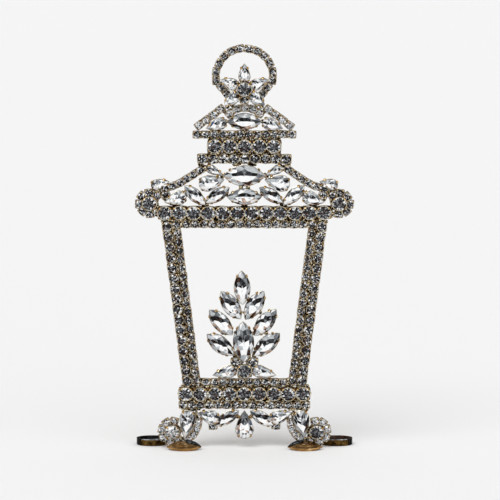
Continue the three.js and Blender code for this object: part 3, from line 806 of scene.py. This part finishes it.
def add_panel(name, base, loose, solder, fixed=(), rounds=()):
    """Fancy stones in open cups. Loose stones stand for crystal nodes, the rest belongs to the setting.

    Solder is given for the right side, as spots (x, up) and runs (x, up, x, up) over the base, and mirrored.
    """
    dice = random.Random(name)
    cups, stones = [], []

    def raised(place):
        return {**place, "z": base + place["z"]}

    for crystal_node, kind, place in loose:
        cup, stone = set_fancy(*kind, dice, **raised(place))
        cups.append(cup)
        add_piece(crystal_node.replace("_crystal", "_stone"), [stone], PAINTED_FLASHES, crystal_node)
    for kind, place in fixed:
        cup, stone = set_fancy(*kind, dice, **raised(place))
        cups.append(cup)
        stones.append(stone)
    for size, odds, place in rounds:
        more_cups, more_stones = set_stones([raised(place)], size, dice, odds)
        cups += more_cups
        stones += more_stones
    for spot in solder:
        for flip in (1, -1):
            run = [v for x, up in zip(spot[0::2], spot[1::2]) for v in (flip * x, base + up)]
            cups.append(solder_lump(*run, dice=dice))
    add_piece(name + "_cups", cups, METALS, name + "_setting", sharp_over=38)
    if stones:
        add_piece(name + "_small_stones", stones, PAINTED_FLASHES, name + "_setting")


def both(kind, x, z, turn):
    """A stone on the right and, mirrored, on the left."""
    return [(kind, dict(x=x, z=z, turn=turn)), (kind, dict(x=-x, z=z, turn=180 - turn))]


def pair(node_name, kind, x, z, turn):
    """The same for two crystal nodes, whose names hold right and left where this one holds SIDE."""
    right, left = both(kind, x, z, turn)
    return [(node_name.replace("SIDE", "right"), *right), (node_name.replace("SIDE", "left"), *left)]


add_panel(
    "roof", ROOF,
    loose=[
        ("roof_lower_crystal", NAVETTE_M, dict(x=0, z=4.1)),
        ("roof_centre_crystal", NAVETTE_L, dict(x=0, z=13.5)),
        *pair("roof_SIDE_pear_crystal", ROOF_PEAR, 14.4, 10.5, 168),
        *pair("roof_SIDE_inner_crystal", NAVETTE_S, 11.8, 4.8, -33),
        *pair("roof_SIDE_outer_crystal", NAVETTE_S, 21.8, 4.8, 43),
        *pair("roof_SIDE_end_crystal", PEAR_M, 30.4, 3.1, -18),
    ],
    fixed=both(SHOULDER, 12.9, 15.3, 208),
    solder=[
        (8, 4.9), (17.2, 1.6), (25.5, 4.7), (1.5, 7.4, 1.5, 9.6), (9, 13.5, 9.8, 12.6),
        (2.4, 18.1, 4.4, 18.2), (15.6, 17.7), (0.6, 0.3), (16.4, 0.4), (18.2, 0.5), (29.2, 0.4, 31, 0.3),
    ],
)

# Neck and cap eave
# A row of middle stones, one of chatons and one of small stones, soldered one on the other between the main
# roof and the cap.

NECK_SEAM = 15.5  # half the length of the seams, mm

chain_row("collar_row", MIDDLE)
dice = random.Random("neck")
neck_places = row(5, 5 * LARGE["pitch"], middle_height("neck_row"))
neck_solder = seam_over("collar_row", "neck_row", NECK_SEAM, dice)
neck_solder += seam_over("neck_row", "cap_eave_row", NECK_SEAM, dice)
add_set("neck_row", [set_stones(neck_places, LARGE, dice, CHATON_ODDS)], neck_solder)
chain_row("cap_eave_row", SMALL)

# Cap
# Two short slopes of small chain and an arch between them. One boat stone and two pears fill it, in open cups
# soldered to each other.

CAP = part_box("cap_eave_row")[1].z / MM  # foot of the cap, mm
CAP_PEAR = ("pear", 9.2, 5.2, 2.9, 1.3)

# Odds of lighter painted reflections, for stones that show brighter.
BRIGHT_ODDS = dict(
    heart=[(SILVER, 2), (GREY, 3), (WHITE, 1), (COPPER, 1), (SLATE, 1.5)],
    table=[(SILVER, 2.4), (GREY, 3), (WHITE, 1.6), (BLACK, 2), (SLATE, 2), (COPPER, 1)],
    spoke=[(WHITE, 3), (SILVER, 3), (GREY, 2), (COPPER, 0.8)],
    star=[(SILVER, 3), (WHITE, 3), (GREY, 2), (BLACK, 2), (SLATE, 1.6), (COPPER, 0.6)],
    kite=[(SILVER, 3), (WHITE, 3), (GREY, 2.4), (BLACK, 2.4), (SLATE, 1.6), (COPPER, 0.8)],
    girdle=[(WHITE, 3.4), (BLACK, 3), (SILVER, 2.4), (GREY, 2), (SLATE, 1.6), (COPPER, 1)],
)

for side, mirror in SIDES:
    name = "cap_slope_" + side
    places = along_chain([(10.5, 9.3), (19.8, 2.3)], SMALL, CAP, mirror)
    add_set(name, [set_stones(places, SMALL, random.Random(name), BRIGHT_ODDS)])

arch = along_chain(bend((-6.6, 7.45), (0, 12.45), (6.6, 7.45)), SMALL, CAP)
add_set("cap_arch_row", [set_stones(arch, SMALL, random.Random("arch"), BRIGHT_ODDS)])
add_panel(
    "cap", CAP,
    loose=[
        ("cap_centre_crystal", NAVETTE_M, dict(x=0, z=4.1)),
        *pair("cap_SIDE_crystal", CAP_PEAR, 12.5, 2.5, -20),
    ],
    solder=[(8, 3.9), (1, 0.4), (11.4, 0.3), (5.6, 6.2), (8.8, 8.3)],
)

# Hanger ring
# One length of small rhinestone chain bent into an open ring, by which the lantern hangs. Its ends lean in and
# stand on the arch of the cap, and large beads of solder hold them there.

RING_RADIUS, RING_MIDDLE = 12.5, 23.6  # mm, the middle over the foot of the cap
RING_FOOT = (5.2, 13.15)
SPLAY = 10  # degrees by which the ring runs on past its half circle before it turns in

ring_line = [RING_FOOT]
for i in range(73):
    x, up = on_circle(RING_RADIUS, math.radians(-SPLAY + (180 + 2 * SPLAY) * i / 72))
    ring_line.append((x, RING_MIDDLE + up))
ring_line.append((-RING_FOOT[0], RING_FOOT[1]))
hanger = along_chain(ring_line, SMALL, CAP)
dice = random.Random("hanger")
hanger_solder = [
    solder_lump(side * x, CAP + up, dice=dice, radius=1.1, height=2.4)
    for side in (-1, 1)
    for x, up in ((5.4, 11.3), (7.5, 10.5))
]
add_set("hanger_ring", [set_stones(hanger, SMALL, dice, CHAIN_ODDS)], hanger_solder)

# Finial
# Five pear stones in cups round a chaton, tips outward, and one small stone below. The star is soldered to
# the front of the hanger's legs.

PETAL_RADIUS = 7.26
STAR = CAP + 18.55  # height of the star's middle
STAR_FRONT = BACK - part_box("finial_star")[1].y / MM

dice = random.Random("finial")
star_groups = [
    set_stones([dict(z=STAR, front=STAR_FRONT)], LARGE, dice, CHATON_ODDS),
    set_stones([dict(z=STAR - CURL_RADIUS, front=STAR_FRONT)], SMALL, dice, CHAIN_ODDS),
]
for turn in (90, 23, 157, 218, 322):
    x, up = on_circle(PETAL_RADIUS, math.radians(turn))
    cup, stone = set_fancy(*PEAR_S, dice, x=x, z=STAR + up, turn=turn, front=STAR_FRONT)
    star_groups.append(([cup], [stone]))
add_set("finial_star", star_groups)

# Flame
# Eight boat stones in open cups, soldered into the shape of a flame over a chaton with two middle stones and
# two pears at its foot. The boats lean a little to the viewer's left.

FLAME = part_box("base_top_row")[1].z / MM  # foot of the flame, mm
FLAME_LEAN = 1.4  # degrees
LEAF = ("pear", 10.4, 5.4, 3.0, 1.4)


def leaned(stones):
    """Stones moved and turned with the lean of the flame."""
    shear = math.tan(math.radians(FLAME_LEAN))
    return [
        (name, kind, dict(x=at["x"] - at["z"] * shear, z=at["z"], turn=at["turn"] + FLAME_LEAN))
        for name, kind, at in stones
    ]


add_panel(
    "flame", FLAME,
    loose=leaned([
        ("flame_heart_crystal", NAVETTE_L, dict(x=0, z=16.6, turn=90)),
        ("flame_tip_crystal", NAVETTE_M, dict(x=0, z=40.8, turn=90)),
        *pair("flame_SIDE_low_crystal", NAVETTE_M, 10.3, 15.4, 40),
        *pair("flame_SIDE_middle_crystal", NAVETTE_M, 9.8, 25.3, 49),
        *pair("flame_SIDE_high_crystal", NAVETTE_M, 5.25, 33, 56),
    ]),
    fixed=both(LEAF, 8.95, 2.7, -14),
    rounds=[
        (LARGE, CHATON_ODDS, dict(x=0, z=3.4)),
        *((MIDDLE, CHAIN_ODDS, dict(x=x, z=7.2)) for x in (3.75, -3.75)),
    ],
    solder=[
        (2.6, 3.4, 4.8, 3.4), (1.2, 7.2), (4.2, 9.3, 4.4, 11.1), (3.9, 20.1),
        (9.6, 20.3), (6.9, 29.3), (2.2, 35.2),
    ],
)

# Apron
# A pear stone hangs tip up under the middle of the base, with a boat stone, a pear and a small stone soldered
# on at each side.

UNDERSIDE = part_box("base_bottom_row")[0].z / MM  # of the base bar, mm
PEAR_L = ("pear", 12.4, 7.8, 3.6, 1.8)

add_panel(
    "apron", UNDERSIDE,
    loose=[("pendant_crystal", PEAR_L, dict(x=0, z=-6.8, turn=90))],
    fixed=[*both(NAVETTE_S, 7.8, -4, -32), *both(PEAR_M, 16.2, -3.1, 19)],
    rounds=[(SMALL, CHAIN_ODDS, dict(x=x, z=-7.6)) for x in (14, -14)],
    solder=[(3, -3.7), (12.4, -4.2)],
)

# Legs
# An upright pear stone under each end of the base, with a curl of chain on its inner side and a rosette
# soldered to its outer side.

LEG_PEAR = ("pear", 12.4, 6.9, 3.4, 1.6)

for side, mirror in SIDES:
    name = "leg_" + side
    dice = random.Random(name)
    cup, stone = set_fancy(*LEG_PEAR, dice, x=25.6, z=UNDERSIDE - 6.8, turn=-82, mirror=mirror)
    places = along_chain(bend((20.45, 11.3), (21.1, 6.2), (25.1, 3.9)), SMALL, 0, mirror, packed=1.25)
    joint = seam(26.2, 3.2, 28.6, 4.4, dice)  # from the curl to the rosette
    joint += seam(20, UNDERSIDE - 0.2, 27.6, UNDERSIDE - 0.2, dice)  # along the base bar
    joint += seam(20.8, 12.9, 21.6, 15.6, dice)  # from the top of the curl up, beside the pear
    add_set(name, [set_stones(places, SMALL, dice, BRIGHT_ODDS), ([cup], [stone])], on_side(joint, mirror))
    # The left rosette's middle stone takes lighter painted reflections than the right one's.
    middle_odds = BRIGHT_ODDS if side == "left" else CHATON_ODDS
    add_rosette("rosette_" + side, 32.1, 7.1, 101, -44.2, mirror, middle_odds, BRIGHT_ODDS)

# Feet
# Four stone cups of bronze carry the lantern. In front two boats lie on their backs, pressed with one boat
# shape inside the other and tilted to the viewer. Behind stand two open oval cups with a dark stone in each.

# The bronze is sheet too, pressed and polished: warm on the boats, with grooves painted brown as painted shade,
# and nearly black on the ovals, with a grey lip that is a painted highlight and an outer end painted black as
# painted shade. The lead solder at the boats has a dull grey skin, painted dark as painted shade.
boat_bronze = spun_brass("bronze_boat_pressed_polished", "#74532d", "#a17b49", "#d9bd90", 5.0, 0.24)
# Groove faces are painted dark brown: painted shade in the grooves, which shows the pressed relief.
groove_bronze_painted_shade = spun_brass("bronze_groove_painted_shade", "#38240f", "#5d4122", "#84613a", 4.0, 0.34)
oval_bronze = spun_brass("bronze_oval_cup_aged", "#140c05", "#49361a", "#73582c", 2.0, 0.36)
# The lip is painted pale grey: a painted highlight along the rim of the bronze cup.
oval_rim_painted_highlight = spun_brass("bronze_rim_grey_painted_highlight", "#3c3a36", "#8c8f90", "#c9cdd0", 1.6, 0.3)
# Nearly black bronze for the outer end of each oval cup: painted shade.
black_bronze_painted_shade = spun_brass("bronze_outer_end_painted_shade", "#030302", "#0d0a06", "#2a2116", 1.3, 0.4)
# Dark grey solder for the web at each boat's inner end: painted shade.
dark_solder_painted_shade = soldered("lead_solder_grey_painted_shade", "#15181a", "#2c3236", "#596066")

FOOT_TILT = math.radians(71)
FRONT_FOOT = dict(x=26.8, front=7.2, up=0.887)  # middle of the boat, mm
REAR_FOOT = dict(x=41.2, behind=5.1)
BOAT_LENGTH, BOAT_WIDTH = 15.6, 7.6
PRESSED, GROOVE, WEB = 0, 1, 2  # finishes of a front foot
WALL, LIP, WELL, PAINTED_SHADE_END = 0, 1, 2, 3  # finishes of a rear foot

# Odds of the painted reflections on the stone in each rear foot: warm browns on the right, slate with blue-grey
# on the left.
FOOT_ODDS = dict(
    right=dict(
        heart=[(UMBER, 4), (BLACK, 3), (SLATE, 2)],
        table=[(UMBER, 5), (BLACK, 4), (SLATE, 2), (COPPER, 0.6)],
        spoke=[(UMBER, 4), (SLATE, 3), (BLACK, 2), (GREY, 1)],
        star=[(UMBER, 4), (BLACK, 3), (GREY, 1)],
        kite=[(UMBER, 4), (BLACK, 4), (SLATE, 2), (GREY, 1)],
        girdle=[(BLACK, 4), (UMBER, 3), (GREY, 2), (SILVER, 1)],
    ),
    left=dict(
        heart=[(SLATE, 4), (GREY, 2)],
        table=[(SLATE, 4), (BLACK, 3), (GREY, 2)],
        spoke=[(GREY, 3), (SLATE, 3)],
        star=[(BLACK, 5), (SLATE, 3)],
        kite=[(BLACK, 6), (SLATE, 3), (BLUE, 0.3)],
        girdle=[(BLACK, 6), (SLATE, 2), (GREY, 1)],
    ),
)


def laid_back(shape, x, front, up, mirror):
    """A shape that faces the viewer, tilted nearly onto its back and flattened where it meets the floor."""
    points, faces, finishes = shape
    px = x + points[:, 0]
    height = front + points[:, 1] * math.cos(FOOT_TILT) - points[:, 2] * math.sin(FOOT_TILT)
    pz = np.maximum(up + points[:, 1] * math.sin(FOOT_TILT) + points[:, 2] * math.cos(FOOT_TILT), 0)
    return placed((np.column_stack([px, height, pz]), faces, finishes), mirror=mirror)


def stood_up(shape, x, behind, mirror):
    """A shape that faces the viewer, turned to face upward and standing on the floor."""
    points, faces, finishes = shape
    turned = np.column_stack([x + points[:, 0], -behind - points[:, 2], points[:, 1]])
    return placed((turned, faces, finishes), mirror=mirror)


def pressed_boat():
    """One boat shape inside the other, as steps: share of the outline, height, finish up to the next."""
    outline = navette_outline(BOAT_LENGTH, BOAT_WIDTH)
    edge = [outline(i / 40) for i in range(40)]
    steps = [(0.7, 0, GROOVE), (0.985, 0.35, PRESSED), (1, 1.2, PRESSED), (0.96, 1.5, PRESSED)]
    for inner, top in ((0.68, 1.45), (0.34, 1.75)):
        steps += [(inner, top, GROOVE), (inner - 0.04, top - 0.4, GROOVE), (inner - 0.1, top + 0.15, PRESSED)]
    steps += [(0.05, 2.0, PRESSED)]
    rings = [ring([(x * share, z * share) for x, z in edge], height) for share, height, _ in steps]
    return lofted(rings, [finish for _, _, finish in steps[:-1]], floor=PRESSED)


def drawn_out(shape):
    """Pressing leaves the boat shallow at its two ends."""
    points, faces, finishes = shape
    shallow = 1 - 0.7 * np.abs(2 * points[:, 0] / BOAT_LENGTH) ** 3
    return np.column_stack([points[:, 0], points[:, 1] * shallow, points[:, 2]]), faces, finishes


def solder_web():
    """The skin of solder between the boat's inner end and the leg, which lies over the boat's upper edge: a
    dark grey piece put there as painted shade of the boat's shaded end.
    """
    outline = [(-7.7, 0), (-6, 0.2), (-3.8, 0.8), (-1, 2.2), (-0.6, 3.6), (-3.4, 3.15), (-5.6, 2.1), (-7, 0.9)]
    inner = [(-3.6 + 0.8 * (x + 3.6), 1.8 + 0.7 * (z - 1.8)) for x, z in outline]
    return lofted([ring(outline, 1.1), ring(outline, 2.0), ring(inner, 2.3)], [WEB, WEB], floor=WEB)


def oval_outline(length, width, ribs=0.0):
    """An oval, its wall pressed into upright ribs of the depth given."""

    def at(t):
        a = 2 * math.pi * t
        out = 1 - ribs * (0.5 + 0.5 * math.cos(22 * a))
        return length / 2 * out * math.cos(a), width / 2 * out * math.sin(a)

    return at


def oval_cup():
    """A ribbed wall, a rolled lip and a well for the stone. The end away from the middle is painted nearly
    black, as painted shade.
    """

    def band(length, width, height, ribs=0.0):
        outline = oval_outline(length, width, ribs)
        return ring([outline(i / 88) for i in range(88)], height)

    rings = [
        band(13, 9, 0), band(13.9, 9.9, 0.3), band(13.95, 9.95, 0.5, 0.03), band(13.95, 9.95, 2.5, 0.03),
        band(13.8, 9.8, 2.75), band(14, 10, 2.9), band(13.9, 9.9, 3.08), band(13.6, 9.6, 3.08),
        band(13.4, 9.4, 2.7), band(12.6, 8.6, 0.9),
    ]
    points, faces, finishes = lofted(rings, [WALL] * 4 + [LIP] * 3 + [WELL] * 2, floor=WALL)
    # Faces at the outer end, all but the well, take the painted shade.
    for i, face in enumerate(faces):
        if points[list(face)].mean(axis=0)[0] > 4.7 and finishes[i] != WELL:
            finishes[i] = PAINTED_SHADE_END
    return points, faces, finishes


for side, mirror in SIDES:
    node_name = "foot_front_" + side
    parts = [laid_back(drawn_out(part), **FRONT_FOOT, mirror=mirror) for part in (pressed_boat(), solder_web())]
    finishes = [boat_bronze, groove_bronze_painted_shade, dark_solder_painted_shade]
    add_piece(node_name + "_boat", parts, finishes, node_name, sharp_over=30)
    node_name = "foot_rear_" + side
    cup = stood_up(oval_cup(), **REAR_FOOT, mirror=mirror)
    # The well inside each cup takes a dark painted reflection tone, umber on the right and black on the left:
    # painted shade inside the cup.
    finishes = [oval_bronze, oval_rim_painted_highlight, PAINTED_FLASHES[UMBER if side == "right" else BLACK], black_bronze_painted_shade]
    add_piece(node_name + "_cup", [cup], finishes, node_name, sharp_over=30)
    dice = random.Random(node_name)
    stone = brilliant(oval_outline(13, 9), dict(depth=1.3, crown=0.9), 0.6, dice, FOOT_ODDS[side], 12)
    stone = stood_up(stone, **REAR_FOOT, mirror=mirror)
    add_piece(node_name + "_stone", [stone], PAINTED_FLASHES, node_name)

# Studio
# A pale floor without an edge, a soft key from the upper left, a weaker fill from the right, and a long lens
# a little above the object.

FLOOR = 30  # half the side of the floor, metres

floor_mesh = bpy.data.meshes.new("floor")
corners = [(-FLOOR, -FLOOR, 0), (FLOOR, -FLOOR, 0), (FLOOR, FLOOR, 0), (-FLOOR, FLOOR, 0)]
floor_mesh.from_pydata(corners, [], [(0, 1, 2, 3)])
floor = bpy.data.objects.new("floor", floor_mesh)
bpy.context.scene.collection.objects.link(floor)
# Matt white paper has no shine, and its tooth, drawn 2.5 mm wide, is only just off white.
paper, _, _, white = clouded("paper_matt_white", 2.5, {"Detail": 2.0}, [(0.3, "#f8f8f8"), (0.7, "#f9f9f9")])
node(paper, "Principled BSDF", {"Roughness": 0.9}, Base_Color=white)
floor_mesh.materials.append(paper)

# The backdrop is seen and mirrored at full strength, and lights the lantern a little less.
world = bpy.data.worlds.new("studio")
bpy.context.scene.world = world
world.use_nodes = True
path = node(world, "ShaderNodeLightPath")
seen = node(world, "ShaderNodeMath", {"operation": "MAXIMUM"})
world.node_tree.links.new(seen.inputs[0], path.outputs["Is Camera Ray"])
world.node_tree.links.new(seen.inputs[1], path.outputs["Is Glossy Ray"])
strength = node(world, "ShaderNodeMapRange", {"To Min": 0.62, "To Max": 1.0}, Value=seen)
node(world, "Background", {"Color": linear("#f5f5f5")}, Strength=strength)


def soft_sun(name, side, height, power, spread):
    """A distant soft lamp, by its angle to the side of the viewer and above the floor, in degrees."""
    lamp = bpy.data.lights.new(name, "SUN")
    lamp.energy, lamp.angle = power, math.radians(spread)
    made = bpy.data.objects.new(name, lamp)
    made.rotation_euler = (math.radians(90 - height), 0, math.radians(side))
    bpy.context.scene.collection.objects.link(made)


soft_sun("key", -35, 52, 1.25, 40)
soft_sun("fill", 45, 25, 0.6, 60)

PICTURE = 500  # width of the picture, pixels
PIXEL = 0.4413  # millimetres of the object per pixel of the picture
RISE = math.radians(8.5)  # camera above the horizon
DISTANCE = 1600.0  # from the point it is aimed at, mm
aim = np.array([2.45, 0.0, 88.5])
lens = bpy.data.cameras.new("camera")
lens.sensor_width = 36
lens.lens = lens.sensor_width * DISTANCE / (PICTURE * PIXEL)
lens.clip_start, lens.clip_end = 0.01, 100
camera = bpy.data.objects.new("camera", lens)
camera.location = (aim + DISTANCE * np.array([0, -math.cos(RISE), math.sin(RISE)])) * MM
camera.rotation_euler = (math.pi / 2 - RISE, 0, 0)
bpy.context.scene.collection.objects.link(camera)
bpy.context.scene.camera = camera
bpy.context.scene.view_settings.view_transform = "Standard"
